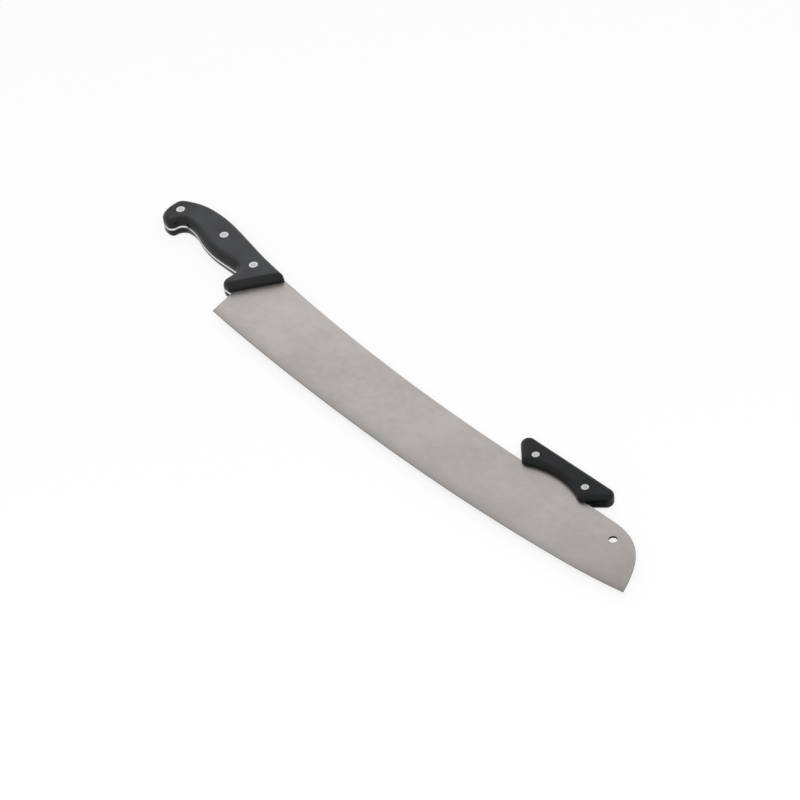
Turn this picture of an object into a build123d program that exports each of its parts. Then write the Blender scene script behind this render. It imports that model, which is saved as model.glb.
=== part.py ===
"""Rocking pizza knife: a long curved blade with a full tang grip and a small second handle near its tip.

The knife lies on its side. +X runs from the pommel to the tip, +Y from the cutting edge to the spine
and +Z up. The origin is under the middle of the knife, on the plane that the grip lies on.
Outlines are drawn from the heel, the corner where the cutting edge starts. All sizes are in mm.
"""
import os
from math import atan2, cos, radians, sin, tan

from build123d import *

# Blade
blade_length = 489.4         # straight from the heel to the tip
blade_thickness = 2.0
edge_sag = 14.0              # how far the cutting edge bows below the line from heel to tip
edge_low_share = 0.573       # place of the lowest point along the blade
edge_turn_share = 0.884      # place where the edge starts to turn up to the tip
edge_turn_sag_share = 0.548  # what is left of the sag there
grind_width = 12.0           # shallow grind down to the cutting edge, on each face
grind_depth = 0.45
grind_lead = 0.5             # angle at which the grind leaves the flat of the blade
bevel_width = 0.9            # steeper bevel along the cutting edge itself
edge_land = 0.3              # thickness left at the cutting edge
spine_height = 48.5          # straight end of the spine, above the line from heel to tip
shoulder_height = 67.2       # the spine where it meets the grip
shoulder_set = 20.9          # from the heel forward to that place
nose_reach = 57.4            # length of the rounded nose, from the tip back
nose_turn_shares = (0.64, 0.72)   # place where the nose turns down, along and up
nose_end_angle = 66.0        # slope at which the nose comes down to the tip
hang_hole_diameter = 7.0
hang_hole_set = 44.1         # from the tip back to the hanging hole
hang_hole_height = 34.3

# Grip, measured back from the heel and up from the line from heel to tip
scale_thickness = 8.5        # each of the two scales on the tang
edge_round = 5.0             # rounding of the scales' outer edges
heel_lean = 5.0              # how far the heel leans back up to the guard
guard_overhang = 22.0        # the guard's foot below the belly of the grip
guard_back = 19.3            # rear wall of the guard, behind the heel
guard_round = 6.6
notch_round = 6.0            # hollow corner between the guard and the belly
belly_height = 46.9          # straight stretch of the grip's underside
belly_run = 20.3
swell_run = 60.8             # from the belly up to the finger arch
swell_turn_share = 0.67      # where that stretch turns from one bend to the other
finger_rise = 11.6           # the finger arch above the belly
finger_round = 7.4
beak_round = 5.4             # the pommel's hook
pommel_overhang = 17.0       # the pommel's end beyond its hook
pommel_height = 40.0         # the highest point of the grip above the hook
pommel_side_share = 0.56     # height of the pommel's end over its hook
crown_set = 41.6             # from the pommel's end to the highest point
crown_corner_shares = (0.2, 0.825)   # rounded back of the pommel, along and up from its hook
ridge_shares = (0.29, 0.62)  # places along the top line, from the highest point to the spine
ridge_drop_shares = (0.20, 0.63)      # its fall at these places
front_set = 2.2              # the scales' front, back from the line between foot and shoulder
slope_run = 4.3              # sloped front of the scales, along the blade
slope_bulge = 0.9            # how far it swells out
slope_round = 2.2            # rounding of the slope's edges

# Second handle, near the tip
tip_handle_set = 123.5       # from the tip back to its middle
tip_scale_thickness = 6.0
tip_edge_round = 4.6
foot_lap = 3.7               # how far its feet reach down over the blade
foot_span = 63.2             # between the corners of its feet
foot_round = 6.0
tip_handle_depth = 25.4      # from the feet to the outer edge
flare_angle = 48.3           # lean of its ends, from upright
end_round = 6.6
arch_rise = 8.3              # hollow between the feet
tab_margin = 3.5             # the scales reach this far past the tab that they hold
tab_round = 5.0
pocket_gap = 0.2             # room for the tab's edge in the scales

# Rivets: a pin through the barrel of a second piece, with flush heads
head_thickness = 1.8
main_head_diameter = 8.0
main_barrel_diameter = 5.6
main_shank_diameter = 3.6
main_rivet_shares = ((0.1, 0.45), (0.528, 0.52), (0.909, 0.274))   # along and up the grip
tip_head_diameter = 6.3
tip_barrel_diameter = 4.4
tip_shank_diameter = 2.8
tip_rivet_spacing = 54.9
tip_rivet_height = 11.6      # above the line of the feet
shank_gap = 0.03             # around the shank in its barrel
barrel_gap = 0.1             # around the barrel in the scales and the tang
head_gap = 0.06              # around the heads in the scales
overrun = 30.0               # how far a cutting shape reaches past what it cuts

# Places worked out from the sizes above
heel = (0, 0)
tip = (blade_length, 0)
nose_end = (cos(radians(nose_end_angle)), -sin(radians(nose_end_angle)))
guard_height = belly_height - guard_overhang
guard_foot = (-heel_lean, guard_height)
shoulder = (shoulder_set, shoulder_height)
notch_x = -guard_back - notch_round
swell_x = notch_x - belly_run
finger_x = swell_x - swell_run
finger_height = belly_height + finger_rise
hook_x = finger_x - finger_round
beak_x = hook_x - beak_round
beak_height = finger_height - finger_round - beak_round
pommel_x = beak_x - pommel_overhang
crown = (pommel_x + crown_set, beak_height + pommel_height)
tip_handle_x = blade_length - tip_handle_set
foot_height = spine_height - foot_lap
flare = tan(radians(flare_angle))
tip_half_length = foot_span / 2 + tip_handle_depth * flare
spine_low = (tip_handle_x - tip_half_length, spine_height)
spine_lean = 2 * atan2(shoulder_height - spine_height, spine_low[0] - shoulder_set)
spine_fall = (cos(spine_lean), -sin(spine_lean))
blade_bottom = scale_thickness
blade_top = blade_bottom + blade_thickness
middle = blade_bottom + blade_thickness / 2
grip_top = blade_top + scale_thickness
heel_x = -(blade_length + pommel_x) / 2
heel_y = -(crown[1] - edge_sag) / 2
tip_bottom = blade_bottom - tip_scale_thickness
tip_top = blade_top + tip_scale_thickness


def level(height):
    """Plane at a height over the rest plane, with its origin at the heel."""
    return Plane(origin=(heel_x, heel_y, height))


def between(start, end, share_x, share_y):
    """Point at these shares of the way from one point to another."""
    return (start[0] + share_x * (end[0] - start[0]), start[1] + share_y * (end[1] - start[1]))


main_rivets = [
    between((pommel_x, belly_height), (0, crown[1]), along, up) for along, up in main_rivet_shares
]
tip_rivets = [
    (tip_handle_x + side * tip_rivet_spacing / 2, foot_height + tip_rivet_height) for side in (-1, 1)
]


def tab_corners(gap):
    """Corners of the tab under the second handle, with room added around them."""
    low_half = foot_span / 2 - tab_margin + gap
    high = foot_height + tip_handle_depth - tab_margin + gap
    high_half = low_half + (high - foot_height) * flare
    return [
        (tip_handle_x - low_half, foot_height), (tip_handle_x + low_half, foot_height),
        (tip_handle_x + high_half, high), (tip_handle_x - high_half, high),
    ]


def grip_outline():
    """Outline shared by the tang and its scales, from the guard's foot round the pommel to the spine."""
    Line(guard_foot, (-guard_back + guard_round, guard_height))
    CenterArc((-guard_back + guard_round, guard_height + guard_round), guard_round, 180, 90)
    Line((-guard_back, guard_height + guard_round), (-guard_back, belly_height - notch_round))
    CenterArc((notch_x, belly_height - notch_round), notch_round, 0, 90)
    Line((notch_x, belly_height), (swell_x, belly_height))
    swell_start, swell_end = (swell_x, belly_height), (finger_x, finger_height)
    turn = between(swell_start, swell_end, swell_turn_share, swell_turn_share)
    swell = TangentArc(swell_start, turn, tangent=(-1, 0))
    TangentArc(turn, swell_end, tangent=swell % 1)
    CenterArc((finger_x, finger_height - finger_round), finger_round, 90, 90)
    CenterArc((beak_x, beak_height + beak_round), beak_round, 270, 90)
    side = (pommel_x, beak_height + pommel_side_share * pommel_height)
    corner = (
        pommel_x + crown_corner_shares[0] * crown_set,
        beak_height + crown_corner_shares[1] * pommel_height,
    )
    Spline((beak_x, beak_height), side, tangents=[(-1, 0), (0, 1)])
    Spline(side, corner, crown, tangents=[(0, 1), (1, 0)])
    ridge = [between(crown, shoulder, along, down) for along, down in zip(ridge_shares, ridge_drop_shares)]
    Spline(crown, *ridge, shoulder, tangents=[(1, 0), spine_fall])


def cutting_edge():
    """Line of the cutting edge in three arcs, of which it gives back the first and the last."""
    edge_turn = (edge_turn_share * blade_length, -edge_turn_sag_share * edge_sag)
    edge_low = (edge_low_share * blade_length, -edge_sag)
    fall = TangentArc(edge_low, heel, tangent=(-1, 0))
    rise = TangentArc(edge_low, edge_turn, tangent=(1, 0))
    turn = TangentArc(edge_turn, tip, tangent=rise % 1)
    return fall, turn


# Blade with its tang, in one piece
with BuildSketch() as blade_shape:
    with BuildLine():
        grip_outline()
        TangentArc(spine_low, shoulder, tangent=(-1, 0))
        nose_top = (blade_length - nose_reach, spine_height)
        nose_turn = between(nose_top, tip, nose_turn_shares[0], 1 - nose_turn_shares[1])
        Line(spine_low, nose_top)
        Spline(nose_top, nose_turn, tip, tangents=[(1, 0), nose_end])
        cutting_edge()
        Line(heel, guard_foot)
    make_face()

with BuildSketch() as tab_shape:
    with BuildLine():
        Polyline(*tab_corners(0), close=True)
    make_face()
    fillet(tab_shape.vertices().group_by(Axis.Y)[-1], radius=tab_round)

# What the grind takes off both faces, drawn across the start of a line that runs on past both ends
with BuildLine() as grind_line:
    for arc in cutting_edge():
        Line(arc @ 1, arc @ 1 + overrun * (arc % 1))
grind_path = grind_line.wire().moved(level(middle).location)
with BuildSketch(Plane(grind_path @ 0, x_dir=(0, 1, 0), z_dir=grind_path % 0)) as grind_section:
    with BuildLine():
        face = blade_thickness / 2
        grind_start, bevel_start = (grind_width, face), (bevel_width, face - grind_depth)
        lead = (-cos(radians(grind_lead)), -sin(radians(grind_lead)))
        TangentArc(grind_start, bevel_start, tangent=lead)
        Polyline(
            bevel_start, (0, edge_land / 2), (-blade_thickness, edge_land / 2),
            (-blade_thickness, blade_thickness), (grind_width, blade_thickness), grind_start,
        )
    make_face()
    mirror(about=Plane.XZ)

with BuildPart() as blade:
    with BuildSketch(level(blade_bottom)):
        add(blade_shape.sketch)
        add(tab_shape.sketch)
    extrude(amount=blade_thickness)
    sweep(grind_section.sketch, path=grind_path, mode=Mode.SUBTRACT)
    with Locations(level(blade_top)):
        with Locations((blade_length - hang_hole_set, hang_hole_height)):
            Hole(radius=hang_hole_diameter / 2)
        with Locations(*main_rivets):
            Hole(radius=main_barrel_diameter / 2 + barrel_gap)
        with Locations(*tip_rivets):
            Hole(radius=tip_barrel_diameter / 2 + barrel_gap)

# Front scale of the grip, cut off by a slope along its front
front_angle = atan2(shoulder[1] - guard_foot[1], shoulder[0] - guard_foot[0])
front_plane = Plane(
    origin=(heel_x + guard_foot[0], heel_y + guard_foot[1], blade_top),
    x_dir=(sin(front_angle), -cos(front_angle), 0),
    z_dir=(cos(front_angle), sin(front_angle), 0),
)
front_length = (shoulder[1] - guard_foot[1]) / sin(front_angle)

with BuildPart() as main_scale_front:
    with BuildSketch(level(blade_top)):
        with BuildLine():
            grip_outline()
            ahead = (shoulder[0] + overrun * spine_fall[0], shoulder[1] + overrun * spine_fall[1])
            Polyline(shoulder, ahead, (guard_foot[0] + overrun, guard_height), guard_foot)
        make_face()
    extrude(amount=scale_thickness)
    outer = main_scale_front.faces().sort_by(Axis.Z)[-1]
    front_line = outer.edges().sort_by(Axis.X)[-1]
    fillet(outer.edges() - ShapeList([front_line]), radius=edge_round)
    with BuildSketch(front_plane):
        with BuildLine():
            foot, brow = (-front_set, 0), (-front_set - slope_run, -scale_thickness)
            SagittaArc(foot, brow, slope_bulge)
            far = scale_thickness + overrun
            Polyline(brow, (brow[0], -far), (overrun, -far), (overrun, overrun), (foot[0], overrun), foot)
        make_face()
    extrude(amount=front_length + overrun, both=True, mode=Mode.SUBTRACT)
    slope_middle = (-front_set - slope_run / 2, -scale_thickness / 2, front_length / 2)
    slope = main_scale_front.faces().sort_by_distance(front_plane.from_local_coords(slope_middle))[0]
    fillet(slope.edges() - slope.edges().group_by(Axis.Z)[0], radius=slope_round)
    with Locations(level(grip_top)):
        with Locations(*main_rivets):
            CounterBoreHole(
                radius=main_barrel_diameter / 2 + barrel_gap,
                counter_bore_radius=main_head_diameter / 2 + head_gap,
                counter_bore_depth=head_thickness,
            )

with BuildPart() as main_scale_back:
    mirror(main_scale_front.part, about=Plane.XY.offset(middle))

# Front scale of the second handle, with a pocket for the tab and the blade
with BuildPart() as tip_scale_front:
    with BuildSketch(level(middle)):
        with BuildLine():
            half_foot = foot_span / 2
            outer_height = foot_height + tip_handle_depth
            left_foot = (tip_handle_x - half_foot, foot_height)
            right_foot = (tip_handle_x + half_foot, foot_height)
            ThreePointArc(left_foot, (tip_handle_x, foot_height + arch_rise), right_foot)
            Polyline(
                right_foot,
                (tip_handle_x + tip_half_length, outer_height),
                (tip_handle_x - tip_half_length, outer_height),
                left_foot,
            )
        make_face()
        fillet(vertices().group_by(Axis.Y)[0], radius=foot_round)
        fillet(vertices().group_by(Axis.Y)[-1], radius=end_round)
    extrude(amount=blade_thickness / 2 + tip_scale_thickness)
    fillet(tip_scale_front.faces().sort_by(Axis.Z)[-1].edges(), radius=tip_edge_round)
    with BuildSketch(level(middle)):
        with BuildLine():
            Polyline(*tab_corners(pocket_gap), close=True)
        make_face()
        fillet(vertices().group_by(Axis.Y)[-1], radius=tab_round)
        with Locations((tip_handle_x, spine_height + pocket_gap - overrun)):
            Rectangle(2 * (tip_half_length + overrun), 2 * overrun)
    extrude(amount=blade_thickness / 2, mode=Mode.SUBTRACT)
    with Locations(level(blade_top + tip_scale_thickness)):
        with Locations(*tip_rivets):
            CounterBoreHole(
                radius=tip_barrel_diameter / 2 + barrel_gap,
                counter_bore_radius=tip_head_diameter / 2 + head_gap,
                counter_bore_depth=head_thickness,
            )

with BuildPart() as tip_scale_back:
    mirror(tip_scale_front.part, about=Plane.XY.offset(middle))


def rivet_barrel(place, low, high, head_diameter, barrel_diameter, shank_diameter):
    """Outer piece of a rivet: a flush head on a sleeve, bored through for the pin."""
    with BuildPart() as barrel:
        with BuildSketch(level(high)):
            with Locations(place):
                Circle(head_diameter / 2)
        extrude(amount=-head_thickness)
        with BuildSketch(level(high)):
            with Locations(place):
                Circle(barrel_diameter / 2)
        extrude(amount=-(high - low - head_thickness))
        with Locations(level(high)):
            with Locations(place):
                Hole(radius=shank_diameter / 2)
    return barrel.part


def rivet_pin(place, low, high, head_diameter, shank_diameter):
    """Inner piece of a rivet: a flush head on a shank that ends level with the other head."""
    with BuildPart() as pin:
        with BuildSketch(level(low)):
            with Locations(place):
                Circle(head_diameter / 2)
        extrude(amount=head_thickness)
        with BuildSketch(level(low)):
            with Locations(place):
                Circle(shank_diameter / 2 - shank_gap)
        extrude(amount=high - low)
    return pin.part


pieces = {
    "blade": blade.part,
    "main_scale_front": main_scale_front.part,
    "main_scale_back": main_scale_back.part,
    "tip_scale_front": tip_scale_front.part,
    "tip_scale_back": tip_scale_back.part,
}
for number, place in enumerate(main_rivets, start=1):
    pieces[f"main_rivet_barrel_{number}"] = rivet_barrel(
        place, 0, grip_top, main_head_diameter, main_barrel_diameter, main_shank_diameter
    )
    pieces[f"main_rivet_pin_{number}"] = rivet_pin(
        place, 0, grip_top, main_head_diameter, main_shank_diameter
    )
for number, place in enumerate(tip_rivets, start=1):
    pieces[f"tip_rivet_barrel_{number}"] = rivet_barrel(
        place, tip_bottom, tip_top, tip_head_diameter, tip_barrel_diameter, tip_shank_diameter
    )
    pieces[f"tip_rivet_pin_{number}"] = rivet_pin(
        place, tip_bottom, tip_top, tip_head_diameter, tip_shank_diameter
    )

os.makedirs("parts", exist_ok=True)
for name, piece in pieces.items():
    piece.label = name
    export_step(piece, f"parts/{name}.step")
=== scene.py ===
"""Rocking pizza knife: its softened pieces, the finishes of steel, grips and rivets, and its stage."""
from math import ceil, cos, radians, sin, sqrt

import bmesh
import bpy
from bpy.props import FloatProperty, FloatVectorProperty, PointerProperty
from bpy.types import Operator, Panel, PropertyGroup
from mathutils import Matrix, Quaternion, Vector
from mathutils.kdtree import KDTree


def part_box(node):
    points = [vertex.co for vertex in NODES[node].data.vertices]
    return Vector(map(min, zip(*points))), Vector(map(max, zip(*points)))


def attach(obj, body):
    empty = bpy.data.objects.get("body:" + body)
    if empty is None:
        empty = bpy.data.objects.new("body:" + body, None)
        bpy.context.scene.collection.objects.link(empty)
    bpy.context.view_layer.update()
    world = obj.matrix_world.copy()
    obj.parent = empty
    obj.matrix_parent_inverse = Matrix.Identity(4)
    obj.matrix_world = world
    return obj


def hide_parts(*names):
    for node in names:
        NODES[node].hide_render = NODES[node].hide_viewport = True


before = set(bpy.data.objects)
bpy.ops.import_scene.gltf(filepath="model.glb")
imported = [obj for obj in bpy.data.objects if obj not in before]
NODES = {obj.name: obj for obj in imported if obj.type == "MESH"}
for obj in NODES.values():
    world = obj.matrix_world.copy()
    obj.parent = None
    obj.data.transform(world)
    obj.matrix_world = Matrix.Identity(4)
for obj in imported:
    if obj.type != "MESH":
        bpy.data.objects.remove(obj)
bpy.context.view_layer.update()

bl_info = {
    "name": "Rocking pizza knife",
    "version": (1, 0, 0),
    "blender": (4, 5, 0),
    "location": "View3D > Sidebar > Pizza knife",
    "description": "Dresses the packed model of a rocking pizza knife and sets its stage",
    "category": "Object",
}

BODY = "root"
BLADE_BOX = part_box("blade")
MIDDLE = (BLADE_BOX[0].z + BLADE_BOX[1].z) / 2
HALF_BLADE = (BLADE_BOX[1].z - BLADE_BOX[0].z) / 2
GRIP_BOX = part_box("main_scale_front")
GRIP_CORNER = GRIP_BOX[0].xy
GRIP_HEIGHT = GRIP_BOX[1].z - GRIP_BOX[0].z
BLACK = (0.0, 0.0, 0.0)
WHITE = (1.0, 1.0, 1.0)

# Where the painted shade and highlights of the steel and the grip change along the knife and across it,
# in metres: the painted highlight on the tang's sides, painted shade at the nose, a painted highlight
# below the second handle, and painted shade towards the cutting edge and at the pommel.
TANG_START = GRIP_BOX[1].x
TANG_END = TANG_START - 0.004
TIP = BLADE_BOX[1].x
NOSE_START = TIP - 0.0528
GLINT_MIDDLE = TIP - 0.0878
GLINT_REACH = 0.07
CUTTING_EDGE = BLADE_BOX[0].y
SPINE = CUTTING_EDGE + 0.05485
POMMEL_FRONT = GRIP_CORNER.x + 0.03
POMMEL_BACK = GRIP_CORNER.x + 0.01

# How far the faces look up: where a tone starts and where it is full. These tones are painted light and
# shade: on the blade's upright sides, on the cutting edge's bevel, and on the grips' ground flats, which
# also differ in roughness.
SIDE_FACING = (0.7, 0.3)
BEVEL_FACING = (0.985, 0.95)
GROUND_AND_PAINTED_LIGHT_FACING = (0.8, 1.0)

# Spans of noise that make the full range of a tone.
CLOUD_SPAN = (0.38, 0.62)
PATCH_SPAN = (0.35, 0.65)
SCRATCH_SPAN = (0.3, 0.7)
NOISE_MIDDLE = 0.5
CLOUD_SHARE = 0.6
ROUGH_DETAIL = 3
FINE_DETAIL = 2

# The rounding of the main scales in the solids, and the places of the outline where it is made broader,
# from the corner of the front scale's box below the pommel.
GRIP_ROUND = 0.005
BELLY_PLACES = ((0.1012, 0.02195), (0.0762, 0.02265), (0.0512, 0.03015))
GUARD_PLACE = (0.1169, 0.00795)

# How far a point may lie off its place, the spacing of the outline's points, and how far a wall may lean.
ROUND_GAP = 0.0001
OUTLINE_STEP = 0.00015
UPRIGHT = 0.02

MERGE_DISTANCE = 1e-6
FLAT_ANGLE = radians(0.03)
SHARP_ANGLE = radians(32)
GRIP_SHARP_ANGLE = radians(50)
BEVEL_SEGMENTS = 2


class Value:
    """A number that varies over a surface. Arithmetic on it adds Math nodes to its finish."""

    def __init__(self, finish, socket):
        self.finish = finish
        self.socket = socket

    def maths(self, operation, first, second):
        return self.finish.add("ShaderNodeMath", {"operation": operation}, {0: first, 1: second})

    def __add__(self, other):
        return self.maths("ADD", self, other)

    def __radd__(self, other):
        return self.maths("ADD", other, self)

    def __sub__(self, other):
        return self.maths("SUBTRACT", self, other)

    def __rsub__(self, other):
        return self.maths("SUBTRACT", other, self)

    def __mul__(self, other):
        return self.maths("MULTIPLY", self, other)

    def __rmul__(self, other):
        return self.maths("MULTIPLY", other, self)

    def __abs__(self):
        return self.maths("ABSOLUTE", self, 0.0)


class Finish:
    """A material made of nodes, with a Principled shader at its end."""

    def __init__(self, name, **constants):
        self.material = bpy.data.materials.new(name)
        self.material.use_nodes = True
        self.tree = self.material.node_tree
        self.shader = self.tree.nodes["Principled BSDF"]
        for socket, value in constants.items():
            self.shader.inputs[socket.replace("_", " ")].default_value = value

    def feed(self, socket, value):
        if isinstance(value, Value):
            self.tree.links.new(value.socket, socket)
        else:
            socket.default_value = value

    def add(self, kind, settings=None, inputs=None, output=0):
        """Adds a node of any kind, sets it up, feeds its sockets and gives back one of its outputs."""
        node = self.tree.nodes.new(kind)
        for key, value in (settings or {}).items():
            setattr(node, key, value)
        for key, value in (inputs or {}).items():
            self.feed(node.inputs[key], value)
        return Value(self, node.outputs[output])

    def place(self, scale=(1, 1, 1), turn=(0, 0, 0)):
        """Object coordinates, stretched by scale and turned."""
        here = self.add("ShaderNodeTexCoord", output="Object")
        return self.add("ShaderNodeMapping", inputs={"Vector": here, "Scale": scale, "Rotation": turn})

    def part(self, vector, axis):
        return self.add("ShaderNodeSeparateXYZ", inputs={"Vector": vector}, output=axis)

    def facing(self):
        """1 on faces that look straight up or down, 0 on upright walls."""
        return abs(self.part(self.add("ShaderNodeTexCoord", output="Normal"), "Z"))

    def noise(self, place, scale, detail=2, roughness=0.5):
        return self.add("ShaderNodeTexNoise", inputs={
            "Vector": place, "Scale": scale, "Detail": detail, "Roughness": roughness,
        })

    def spread(self, value, low, high):
        """Stretches the span from low to high to the span from 0 to 1."""
        return self.add("ShaderNodeMapRange", inputs={"Value": value, "From Min": low, "From Max": high})

    def blend(self, share, first, second):
        """A colour between two colours."""
        return self.add("ShaderNodeMix", {"data_type": "RGBA"}, {
            "Factor": share, 6: (*first, 1) if isinstance(first, tuple) else first,
            7: (*second, 1) if isinstance(second, tuple) else second,
        }, output=2)

    def relief(self, height, depth):
        return self.add("ShaderNodeBump", inputs={"Height": height, "Distance": depth, "Strength": 1.0})

    def finish(self, **inputs):
        for socket, value in inputs.items():
            self.feed(self.shader.inputs[socket.replace("_", " ")], value)
        return self.material


class KnifeSteelSettings(PropertyGroup):
    """Finish of the blade."""

    light: FloatVectorProperty(
        name="Light tone", description="Steel where the grind is finest", subtype="COLOR", size=3,
        min=0, max=1, default=(0.418, 0.397, 0.383),
    )
    dark: FloatVectorProperty(
        name="Dark tone", description="Steel where the grind is coarsest", subtype="COLOR", size=3,
        min=0, max=1, default=(0.377, 0.354, 0.340),
    )
    # Painted shade: the thin grind along the cutting edge is coloured darker.
    grind: FloatVectorProperty(
        name="Grind tone", description="Steel where it is ground thin along the edge", subtype="COLOR",
        size=3, min=0, max=1, default=(0.33, 0.31, 0.30),
    )
    # Painted shade: the narrow bevel of the cutting edge is coloured darker.
    bevel: FloatVectorProperty(
        name="Bevel tone", description="Narrow bevel of the cutting edge", subtype="COLOR", size=3,
        min=0, max=1, default=(0.25, 0.24, 0.235),
    )
    # The polished tang sides are coloured brighter than steel as a painted highlight, and the blade's
    # sides and hanging hole nearly black as painted shade.
    sides: FloatVectorProperty(
        name="Tang side tone", description="Polished sides of the tang between the scales",
        subtype="COLOR", size=3, min=0, max=1, default=(0.80, 0.80, 0.80),
    )
    painted_shade_sides: FloatVectorProperty(
        name="Blade side tone", description="Sides of the blade and of the hanging hole",
        subtype="COLOR", size=3, min=0, max=1, default=(0.05, 0.05, 0.05),
    )
    # Painted light on the steel: a painted highlight below the second handle, painted shade towards the
    # cutting edge and at the nose.
    glint: FloatProperty(
        name="Glint", description="How much paler the steel is below the second handle", min=0, max=1,
        default=0.04, subtype="FACTOR",
    )
    edge_shade: FloatProperty(
        name="Edge shade",
        description="How much darker the steel is at the cutting edge than at the spine", min=0, max=1,
        default=0.09, subtype="FACTOR",
    )
    nose_shade: FloatProperty(
        name="Nose shade", description="How much darker the nose is than the heel", min=0, max=1,
        default=0.14, subtype="FACTOR",
    )
    bevel_start: FloatProperty(
        name="Bevel start", description="Half the thickness where the bevel starts", default=0.00055,
        unit="LENGTH",
    )
    edge_break: FloatProperty(
        name="Edge break", description="Width of the broken edges", default=0.0001, unit="LENGTH",
    )
    roughness: FloatProperty(
        name="Roughness", description="Gloss of the ground faces", min=0, max=1, default=0.38,
        subtype="FACTOR",
    )
    cloud_size: FloatProperty(
        name="Cloud size", description="Width of the faint cloudy patches", default=0.05, unit="LENGTH",
    )
    mottle_size: FloatProperty(
        name="Mottle size", description="Width of the small patches within the cloudy ones",
        default=0.006, unit="LENGTH",
    )
    noise_roughness: FloatProperty(
        name="Noise roughness", description="Strength of the finest parts of the noise", min=0, max=1,
        default=0.6, subtype="FACTOR",
    )
    side_change: FloatProperty(
        name="Side gloss", description="How much glossier the sides are", min=0, max=1, default=0.12,
        subtype="FACTOR",
    )
    line_change: FloatProperty(
        name="Line gloss", description="How much the gloss changes from line to line", min=0, max=1,
        default=0.12, subtype="FACTOR",
    )
    cloud_change: FloatProperty(
        name="Cloud gloss", description="How much the gloss changes from cloud to cloud", min=0, max=1,
        default=0.1, subtype="FACTOR",
    )
    line_length: FloatProperty(
        name="Grind line length", description="Length of the fine grind lines", default=0.04,
        unit="LENGTH",
    )
    line_width: FloatProperty(
        name="Grind line width", description="Spacing of the fine grind lines", default=0.0006,
        unit="LENGTH",
    )
    line_depth: FloatProperty(
        name="Grind line depth", description="Relief of the grind lines", default=0.000004,
        unit="LENGTH",
    )


class KnifeGripSettings(PropertyGroup):
    """Finish of the black grips."""

    colour: FloatVectorProperty(
        name="Colour", description="Black of the grips", subtype="COLOR", size=3, min=0, max=1,
        default=(0.003, 0.0035, 0.0035),
    )
    # The flats' colours are painted light: lighter than the black edges on the main grip, darker on the
    # second handle, so the two grips are lit and shaded copies of one plastic.
    main_flats: FloatVectorProperty(
        name="Grip flats", description="Ground flat faces of the main grip", subtype="COLOR", size=3,
        min=0, max=1, default=(0.024, 0.027, 0.030),
    )
    tip_flats: FloatVectorProperty(
        name="Second handle flats", description="Ground flat faces of the second handle",
        subtype="COLOR", size=3, min=0, max=1, default=(0.002, 0.003, 0.003),
    )
    # Rubbed wear patches on the flats, set at the level of the flats' painted light.
    wear_and_painted_light: FloatVectorProperty(
        name="Handled tone", description="Patches that are rubbed by the hand", subtype="COLOR", size=3,
        min=0, max=1, default=(0.020, 0.019, 0.024),
    )
    patch_size: FloatProperty(
        name="Patch size", description="Width of the rubbed patches", default=0.02, unit="LENGTH",
    )
    edge_break: FloatProperty(
        name="Edge break", description="Width of the broken edges", default=0.00015, unit="LENGTH",
    )
    roughness: FloatProperty(
        name="Roughness", description="Gloss of the rounded plastic", min=0, max=1, default=0.28,
        subtype="FACTOR",
    )
    ground_roughness: FloatProperty(
        name="Ground roughness", description="Gloss of the ground flat faces", min=0, max=1,
        default=0.45, subtype="FACTOR",
    )
    main_sheen: FloatProperty(
        name="Grip sheen", description="Strength of the main grip's reflections", min=0, max=1,
        default=0.30, subtype="FACTOR",
    )
    tip_sheen: FloatProperty(
        name="Second handle sheen", description="Strength of the second handle's reflections", min=0,
        max=1, default=0.2, subtype="FACTOR",
    )
    main_wear: FloatProperty(
        name="Grip wear", description="Strength of the rubbed patches on the main grip", min=0, max=1,
        default=1.0, subtype="FACTOR",
    )
    tip_wear: FloatProperty(
        name="Second handle wear", description="Strength of the rubbed patches on the second handle",
        min=0, max=1, default=0.3, subtype="FACTOR",
    )
    pommel_shade: FloatProperty(
        name="Pommel shade", description="How much darker the pommel is than the grip", min=0, max=1,
        default=0.8, subtype="FACTOR",
    )
    patch_change: FloatProperty(
        name="Patch gloss", description="How much the gloss changes from patch to patch", min=0, max=1,
        default=0.15, subtype="FACTOR",
    )
    grain_change: FloatProperty(
        name="Grain gloss", description="How much the gloss changes from grain to grain", min=0, max=1,
        default=0.1, subtype="FACTOR",
    )
    belly_round: FloatProperty(
        name="Belly rounding", default=0.0082, unit="LENGTH",
        description="Rounding of the grip's edge at the belly, and its height at the guard",
    )
    belly_reach: FloatProperty(
        name="Belly reach", description="How far the broad rounding reaches from each of its places",
        default=0.028, unit="LENGTH",
    )
    guard_round: FloatProperty(
        name="Guard rounding", description="Width of the rounding of the grip's edge at the guard",
        default=0.0061, unit="LENGTH",
    )
    guard_reach: FloatProperty(
        name="Guard reach", description="How far the guard's rounding reaches from its place",
        default=0.015, unit="LENGTH",
    )
    grain_size: FloatProperty(
        name="Grain size", description="Size of the moulded grain", default=0.0005, unit="LENGTH",
    )
    grain_depth: FloatProperty(
        name="Grain depth", description="Relief of the moulded grain", default=0.00001, unit="LENGTH",
    )


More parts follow.
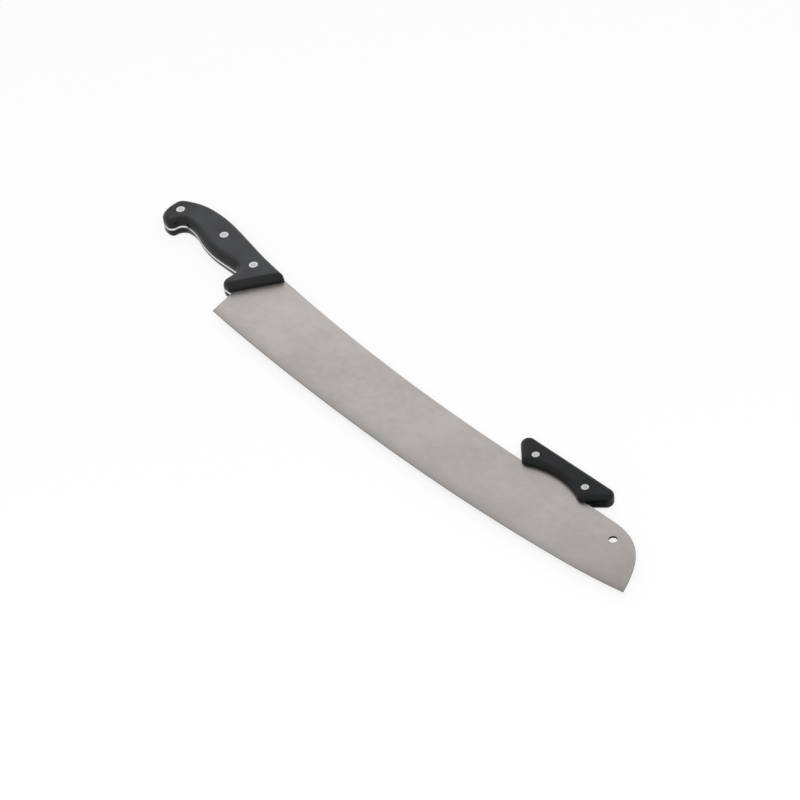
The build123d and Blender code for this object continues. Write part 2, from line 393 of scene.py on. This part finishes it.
class KnifeRivetSettings(PropertyGroup):
    """Finish of the rivets."""

    colour: FloatVectorProperty(
        name="Colour", description="Metal of the rivets", subtype="COLOR", size=3, min=0, max=1,
        default=(0.59, 0.59, 0.59),
    )
    roughness: FloatProperty(
        name="Roughness", description="Gloss of the ground heads", min=0, max=1, default=0.4,
        subtype="FACTOR",
    )
    scratch_width: FloatProperty(
        name="Scratch width", description="Spacing of the fine scratches", default=1 / 9000,
        unit="LENGTH",
    )
    scratch_length: FloatProperty(
        name="Scratch length", description="Length of the fine scratches", default=0.0025,
        unit="LENGTH",
    )
    scratch_turn: FloatProperty(
        name="Scratch turn", description="Way that the scratches run", default=0.6, subtype="ANGLE",
    )
    scratch_share: FloatProperty(
        name="Scratch tone", description="Tone of the scratches beside the metal", min=0, max=1,
        default=0.85, subtype="FACTOR",
    )
    scratch_change: FloatProperty(
        name="Scratch gloss", description="How much the gloss changes from scratch to scratch", min=0,
        max=1, default=0.2, subtype="FACTOR",
    )
    pin_share: FloatProperty(
        name="Pin share", description="Tone of the pins beside the barrels", min=0, max=1, default=0.8,
        subtype="FACTOR",
    )
    edge_break: FloatProperty(
        name="Edge break", description="Width of the broken edges", default=0.00015, unit="LENGTH",
    )


class KnifeStageSettings(PropertyGroup):
    """Camera, floor and lamps."""

    azimuth: FloatProperty(
        name="Azimuth", description="Way round from the front", default=radians(52.4), subtype="ANGLE",
    )
    elevation: FloatProperty(
        name="Elevation", description="Height of the view over the floor", default=radians(41.5),
        subtype="ANGLE",
    )
    roll: FloatProperty(
        name="Roll", description="Turn of the camera about its own axis", default=radians(-6.8),
        subtype="ANGLE",
    )
    distance: FloatProperty(
        name="Distance", description="From the camera to the point it aims at", default=2.2,
        unit="LENGTH",
    )
    aim: FloatVectorProperty(
        name="Aim", description="Point at the middle of the picture", subtype="XYZ", unit="LENGTH",
        size=3, default=(0.0288, -0.0046, 0.0105),
    )
    lens: FloatProperty(
        name="Lens", description="Focal length in millimetres", min=1, default=121.5,
    )
    floor_size: FloatProperty(
        name="Floor size", description="Side of the floor", default=40.0, unit="LENGTH",
    )
    floor_colour: FloatVectorProperty(
        name="Floor colour", description="Plain pale floor", subtype="COLOR", size=3, min=0, max=1,
        default=(0.93, 0.93, 0.93),
    )
    key_energy: FloatProperty(
        name="Key energy", description="Power of the lamp beside the camera", min=0, default=330.0,
    )
    key_size: FloatProperty(
        name="Key size", description="Side of the lamp beside the camera", default=3.4, unit="LENGTH",
    )
    key_place: FloatVectorProperty(
        name="Key place", description="Where the lamp beside the camera hangs", subtype="XYZ",
        unit="LENGTH", size=3, default=(3.34, -2.56, 4.6),
    )
    glow_size: FloatProperty(
        name="Glow size", description="Side of the lamp behind the knife", default=2.4, unit="LENGTH",
    )
    glow_place: FloatVectorProperty(
        name="Glow place", description="Where the lamp behind the knife hangs", subtype="XYZ",
        unit="LENGTH", size=3, default=(-3.4, 1.5, 2.2),
    )
    glow_energy: FloatProperty(
        name="Glow energy", description="Power of the lamp that lights the steel from behind", min=0,
        default=8.0,
    )
    floor_roughness: FloatProperty(
        name="Floor roughness", description="Gloss of the floor", min=0, max=1, default=0.9,
        subtype="FACTOR",
    )
    floor_glow: FloatProperty(
        name="Floor glow", description="Share of plain white that the camera sees in the floor", min=0,
        max=1, default=0.75, subtype="FACTOR",
    )
    sky: FloatProperty(
        name="Sky", description="Level of the light from all round", min=0, max=1, default=0.45,
    )


def steel_finish(settings):
    """Satin ground steel with faint clouds and fine lines from spine to edge.

    It has painted shade on its thin grind, on the cutting edge's bevel, at the nose, towards the cutting
    edge and on the blade's sides and hanging hole, and a painted highlight below the second handle and on
    the polished sides of the tang.
    """
    steel = Finish("ground_steel", Metallic=1.0)
    clouds = steel.noise(steel.place(), 1 / settings.cloud_size, ROUGH_DETAIL, settings.noise_roughness)
    mottle = steel.noise(steel.place(), 1 / settings.mottle_size, ROUGH_DETAIL, settings.noise_roughness)
    stretch = (1 / settings.line_width, 1 / settings.line_length, 1 / settings.line_length)
    lines = steel.noise(steel.place(scale=stretch), 1.0, ROUGH_DETAIL, settings.noise_roughness)
    along = steel.part(steel.place(), "X")
    across = steel.part(steel.place(), "Y")
    away = abs(steel.part(steel.place(), "Z") - MIDDLE)
    facing = steel.facing()
    sides = steel.spread(facing, *SIDE_FACING)
    patches = steel.spread(clouds * CLOUD_SHARE + mottle * (1 - CLOUD_SHARE), *CLOUD_SPAN)
    nose = steel.spread(along, NOSE_START, TIP)
    glint = steel.spread(abs(along - GLINT_MIDDLE), GLINT_REACH, 0.0)
    edge = steel.spread(across, SPINE, CUTTING_EDGE)
    tang = steel.spread(along, TANG_START, TANG_END)
    tone = steel.blend(patches, tuple(settings.dark), tuple(settings.light))
    # Painted shade on the thin grind along the cutting edge.
    tone = steel.blend(steel.spread(away, HALF_BLADE, settings.bevel_start), tone, tuple(settings.grind))
    # Painted shade on the narrow bevel of the cutting edge.
    tone = steel.blend(steel.spread(facing, *BEVEL_FACING), tone, tuple(settings.bevel))
    # Painted shade at the nose and towards the cutting edge, and a painted highlight below the second
    # handle.
    tone = steel.blend(nose * settings.nose_shade, tone, BLACK)
    tone = steel.blend(glint * settings.glint, tone, WHITE)
    tone = steel.blend(edge * settings.edge_shade, tone, BLACK)
    # Painted light on the upright faces: a painted highlight on the polished tang sides, painted shade on
    # the blade's sides and the hanging hole.
    painted_side_light = steel.blend(tang, tuple(settings.painted_shade_sides), tuple(settings.sides))
    line_change = (lines - NOISE_MIDDLE) * settings.line_change
    cloud_change = (clouds - NOISE_MIDDLE) * settings.cloud_change
    return steel.finish(
        Base_Color=steel.blend(sides, tone, painted_side_light),
        Roughness=settings.roughness - sides * settings.side_change + line_change - cloud_change,
        Normal=steel.relief(lines, settings.line_depth),
    )


def grip_finish(grip, settings):
    """Black moulded plastic with a fine grain. Its flat faces are ground rougher, and their colour is
    painted light: greyer than the rounded edges on the main grip, darker on the second handle, with
    painted shade at the pommel.
    """
    flats, sheen, wear = (getattr(settings, f"{grip}_{part}") for part in ("flats", "sheen", "wear"))
    plastic = Finish(f"{grip}_plastic", Specular_IOR_Level=sheen)
    grain = plastic.noise(plastic.place(), 1 / settings.grain_size, FINE_DETAIL)
    patches = plastic.noise(plastic.place(), 1 / settings.patch_size, ROUGH_DETAIL)
    # Faces that look up or down are ground rougher, and their colour carries painted light.
    ground = plastic.spread(plastic.facing(), *GROUND_AND_PAINTED_LIGHT_FACING)
    pommel = plastic.spread(plastic.part(plastic.place(), "X"), POMMEL_FRONT, POMMEL_BACK)
    rubbed = plastic.spread(patches, *PATCH_SPAN) * wear
    # The flats' painted light with rubbed wear patches on it, then painted shade darkening the pommel.
    wear_and_painted_light = plastic.blend(rubbed, tuple(flats), tuple(settings.wear_and_painted_light))
    wear_and_painted_light = plastic.blend(pommel * settings.pommel_shade, wear_and_painted_light, BLACK)
    gloss = settings.roughness + ground * (settings.ground_roughness - settings.roughness)
    patch_change = (patches - NOISE_MIDDLE) * settings.patch_change
    grain_change = (grain - NOISE_MIDDLE) * settings.grain_change
    return plastic.finish(
        Base_Color=plastic.blend(ground, tuple(settings.colour), wear_and_painted_light),
        Roughness=gloss + patch_change + grain_change,
        Normal=plastic.relief(grain, settings.grain_depth),
    )


def rivet_finish(name, settings, share):
    """Flush ground metal with fine scratches."""
    metal = Finish(name, Metallic=1.0)
    stretch = (1 / settings.scratch_width, 1 / settings.scratch_length, 1 / settings.scratch_length)
    ground = metal.place(scale=stretch, turn=(0, 0, settings.scratch_turn))
    scratches = metal.noise(ground, 1.0, FINE_DETAIL)
    tone = tuple(share * part for part in settings.colour)
    dull = tuple(settings.scratch_share * part for part in tone)
    return metal.finish(
        Base_Color=metal.blend(metal.spread(scratches, *SCRATCH_SPAN), dull, tone),
        Roughness=settings.roughness + (scratches - NOISE_MIDDLE) * settings.scratch_change,
    )


def merged_copy(node):
    """A copy of a node's shape with its triangles joined into whole faces."""
    form = bmesh.new()
    form.from_mesh(NODES[node].data)
    bmesh.ops.remove_doubles(form, verts=form.verts, dist=MERGE_DISTANCE)
    bmesh.ops.dissolve_limit(form, angle_limit=FLAT_ANGLE, verts=form.verts, edges=form.edges)
    return form


def eased(share):
    """A share between 0 and 1 with a soft start and end."""
    share = min(max(share, 0.0), 1.0)
    return share * share * (3 - 2 * share)


def outline_of(form, height):
    """Points along the outline of a scale at the tang, and the way that its wall faces at each."""
    rims = [
        edge for edge in form.edges
        if all(abs(height(vert.co)) < ROUND_GAP for vert in edge.verts)
        and any(abs(face.normal.z) < UPRIGHT for face in edge.link_faces)
    ]
    facing = {vert: Vector() for edge in rims for vert in edge.verts}
    for edge in rims:
        wall = min(edge.link_faces, key=lambda face: abs(face.normal.z))
        for vert in edge.verts:
            facing[vert] += wall.normal
    samples = []
    for edge in rims:
        first, last = edge.verts
        steps = ceil(edge.calc_length() / OUTLINE_STEP)
        for step in range(steps + 1):
            way = facing[first].normalized().lerp(facing[last].normalized(), step / steps)
            samples.append((first.co.lerp(last.co, step / steps), way.normalized()))
    return samples


def soft_places(settings):
    """Places of the grip's outline with a broader rounding: centre, reach, inset and drop."""
    belly = (settings.belly_reach, settings.belly_round, settings.belly_round)
    guard = (settings.guard_reach, settings.guard_round, settings.belly_round)
    return [(GRIP_CORNER + Vector(spot), *belly) for spot in BELLY_PLACES] + [
        (GRIP_CORNER + Vector(GUARD_PLACE), *guard)
    ]


def soft_sizes(spot, places):
    """The inset and the drop of the rounding at one spot of the outline."""
    shares = [eased(1 - (spot - centre).length / reach) for centre, reach, _, _ in places]
    total = max(1.0, sum(shares))
    insets = sum(share * (inset - GRIP_ROUND) for share, (_, _, inset, _) in zip(shares, places))
    drops = sum(share * (drop - GRIP_ROUND) for share, (_, _, _, drop) in zip(shares, places))
    return GRIP_ROUND + insets / total, GRIP_ROUND + drops / total


def soften(form, up, places):
    """Broadens the rounding of a scale's outer edge round some places of its outline.

    A vertex counts as part of the rounding where it lies as far inside the outline as its height asks.
    """
    def height(spot):
        return up * (spot.z - MIDDLE) - HALF_BLADE

    outline = outline_of(form, height)
    tree = KDTree(len(outline))
    for number, (spot, _) in enumerate(outline):
        tree.insert((spot.x, spot.y, 0.0), number)
    tree.balance()
    for vert in form.verts:
        rise = (height(vert.co) - GRIP_HEIGHT) / GRIP_ROUND + 1
        sine = min(max(rise, 0.0), 1.0)
        cut = 1 - sqrt(1 - sine * sine)
        _, number, gap = tree.find((vert.co.x, vert.co.y, 0.0))
        if rise < -UPRIGHT or abs(gap - GRIP_ROUND * cut) > ROUND_GAP:
            continue
        spot, way = outline[number]
        inset, drop = soft_sizes(spot.xy, places)
        vert.co -= way * (inset - GRIP_ROUND) * cut
        vert.co.z = MIDDLE + up * (HALF_BLADE + GRIP_HEIGHT - drop * (1 - sine))
    form.normal_update()


def piece_from(form, name, node, material, width, sharp_angle=SHARP_ANGLE):
    """Breaks the sharp edges and puts the piece in its node's place."""
    sharp = [edge for edge in form.edges if edge.calc_face_angle(0) > sharp_angle]
    bmesh.ops.bevel(
        form, geom=sharp, offset=width, segments=BEVEL_SEGMENTS, profile=0.5, affect="EDGES", material=-1,
        clamp_overlap=False,
    )
    mesh = bpy.data.meshes.new(name)
    form.to_mesh(mesh)
    form.free()
    mesh.shade_smooth()
    mesh.set_sharp_from_angle(angle=sharp_angle)
    mesh.materials.append(material)
    piece = bpy.data.objects.new(name, mesh)
    bpy.context.scene.collection.objects.link(piece)
    piece.modifiers.new("even_shading", "WEIGHTED_NORMAL").keep_sharp = True
    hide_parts(node)
    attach(piece, BODY)


class KNIFE_OT_blade(Operator):
    """Finishes the blade"""

    bl_idname = "knife.blade"
    bl_label = "Blade"

    def execute(self, context):
        settings = context.scene.knife_steel
        piece_from(
            merged_copy("blade"), "ground_blade", "blade", steel_finish(settings),
            settings.edge_break,
        )
        return {"FINISHED"}


class KNIFE_OT_grips(Operator):
    """Finishes the scales of both grips"""

    bl_idname = "knife.grips"
    bl_label = "Grips"

    def execute(self, context):
        settings = context.scene.knife_grip
        for grip in ("main", "tip"):
            finish = grip_finish(grip, settings)
            for side in ("front", "back"):
                node = f"{grip}_scale_{side}"
                form = merged_copy(node)
                if grip == "main":
                    soften(form, 1 if side == "front" else -1, soft_places(settings))
                piece_from(
                    form, f"rounded_{node}", node, finish, settings.edge_break,
                    GRIP_SHARP_ANGLE,
                )
        return {"FINISHED"}


class KNIFE_OT_rivets(Operator):
    """Finishes the rivets"""

    bl_idname = "knife.rivets"
    bl_label = "Rivets"

    def execute(self, context):
        settings = context.scene.knife_rivet
        barrel = rivet_finish("rivet_barrel_metal", settings, 1.0)
        pin = rivet_finish("rivet_pin_metal", settings, settings.pin_share)
        for node in [name for name in NODES if "rivet" in name]:
            finish = pin if "pin" in node else barrel
            piece_from(
                merged_copy(node), f"flush_{node}", node, finish, settings.edge_break
            )
        return {"FINISHED"}


class KNIFE_OT_stage(Operator):
    """Sets up the floor, the lamps and the camera"""

    bl_idname = "knife.stage"
    bl_label = "Stage"

    def execute(self, context):
        settings = context.scene.knife_stage
        self.floor(settings)
        self.lamps(context.scene, settings)
        self.camera(context.scene, settings)
        context.scene.view_settings.view_transform = "Standard"
        return {"FINISHED"}

    def floor(self, settings):
        mesh = bpy.data.meshes.new("floor")
        form = bmesh.new()
        bmesh.ops.create_grid(form, x_segments=1, y_segments=1, size=settings.floor_size / 2)
        form.to_mesh(mesh)
        form.free()
        floor = bpy.data.objects.new("floor", mesh)
        bpy.context.scene.collection.objects.link(floor)
        pale = Finish("pale_floor", Roughness=settings.floor_roughness, Specular_IOR_Level=0.0)
        pale.finish(Base_Color=(*settings.floor_colour, 1))
        rays = pale.add("ShaderNodeLightPath", output="Is Camera Ray")
        white = pale.add("ShaderNodeEmission", inputs={"Strength": 1.0})
        lit = Value(pale, pale.shader.outputs["BSDF"])
        seen = pale.add("ShaderNodeMixShader", inputs={0: rays * settings.floor_glow, 1: lit, 2: white})
        pale.feed(pale.tree.nodes["Material Output"].inputs["Surface"], seen)
        mesh.materials.append(pale.material)

    def lamps(self, scene, settings):
        key = self.lamp(scene, "key_lamp", settings.key_energy, settings.key_size, settings.key_place)
        key.visible_glossy = False
        self.lamp(scene, "glow_lamp", settings.glow_energy, settings.glow_size, settings.glow_place)
        world = bpy.data.worlds.new("studio")
        world.use_nodes = True
        tree = world.node_tree
        background = tree.nodes["Background"]
        rays = tree.nodes.new("ShaderNodeLightPath")
        seen = tree.nodes.new("ShaderNodeMix")
        either = tree.nodes.new("ShaderNodeMath")
        either.operation = "MAXIMUM"
        tree.links.new(rays.outputs["Is Camera Ray"], either.inputs[0])
        tree.links.new(rays.outputs["Is Glossy Ray"], either.inputs[1])
        tree.links.new(either.outputs[0], seen.inputs["Factor"])
        seen.inputs[2].default_value = settings.sky
        seen.inputs[3].default_value = 1.0
        tree.links.new(seen.outputs[0], background.inputs["Strength"])
        background.inputs["Color"].default_value = (1, 1, 1, 1)
        scene.world = world

    def lamp(self, scene, name, energy, size, place):
        """A square lamp that shines on the middle of the knife."""
        lamp = bpy.data.lights.new(name, "AREA")
        lamp.size = size
        lamp.energy = energy
        holder = bpy.data.objects.new(name, lamp)
        holder.location = place
        holder.rotation_mode = "QUATERNION"
        holder.rotation_quaternion = (-holder.location).to_track_quat("-Z", "Y")
        scene.collection.objects.link(holder)
        return holder

    def camera(self, scene, settings):
        camera = bpy.data.cameras.new("camera")
        camera.lens = settings.lens
        holder = bpy.data.objects.new("camera", camera)
        flat = cos(settings.elevation)
        right, front = sin(settings.azimuth) * flat, cos(settings.azimuth) * flat
        back = Vector((right, -front, sin(settings.elevation)))
        holder.location = Vector(settings.aim) + settings.distance * back
        holder.rotation_mode = "QUATERNION"
        turn = Quaternion((0, 0, 1), settings.roll)
        holder.rotation_quaternion = (-back).to_track_quat("-Z", "Y") @ turn
        scene.collection.objects.link(holder)
        scene.camera = holder


class KNIFE_PT_panel(Panel):
    """Lists the knife's steps in the sidebar"""

    bl_idname = "KNIFE_PT_panel"
    bl_label = "Pizza knife"
    bl_space_type = "VIEW_3D"
    bl_region_type = "UI"
    bl_category = "Pizza knife"

    def draw(self, context):
        for step, group in STEPS:
            box = self.layout.box()
            box.operator(step.bl_idname)
            settings = getattr(context.scene, group)
            for name in settings.__annotations__:
                box.prop(settings, name)


GROUPS = {
    "knife_steel": KnifeSteelSettings,
    "knife_grip": KnifeGripSettings,
    "knife_rivet": KnifeRivetSettings,
    "knife_stage": KnifeStageSettings,
}
STEPS = (
    (KNIFE_OT_blade, "knife_steel"),
    (KNIFE_OT_grips, "knife_grip"),
    (KNIFE_OT_rivets, "knife_rivet"),
    (KNIFE_OT_stage, "knife_stage"),
)


def register():
    for name, group in GROUPS.items():
        bpy.utils.register_class(group)
        setattr(bpy.types.Scene, name, PointerProperty(type=group))
    for step, _ in STEPS:
        bpy.utils.register_class(step)
    bpy.utils.register_class(KNIFE_PT_panel)


def unregister():
    bpy.utils.unregister_class(KNIFE_PT_panel)
    for step, _ in reversed(STEPS):
        bpy.utils.unregister_class(step)
    for name, group in GROUPS.items():
        delattr(bpy.types.Scene, name)
        bpy.utils.unregister_class(group)


def main():
    register()
    bpy.ops.knife.blade()
    bpy.ops.knife.grips()
    bpy.ops.knife.rivets()
    bpy.ops.knife.stage()


if __name__ == "__main__":
    main()
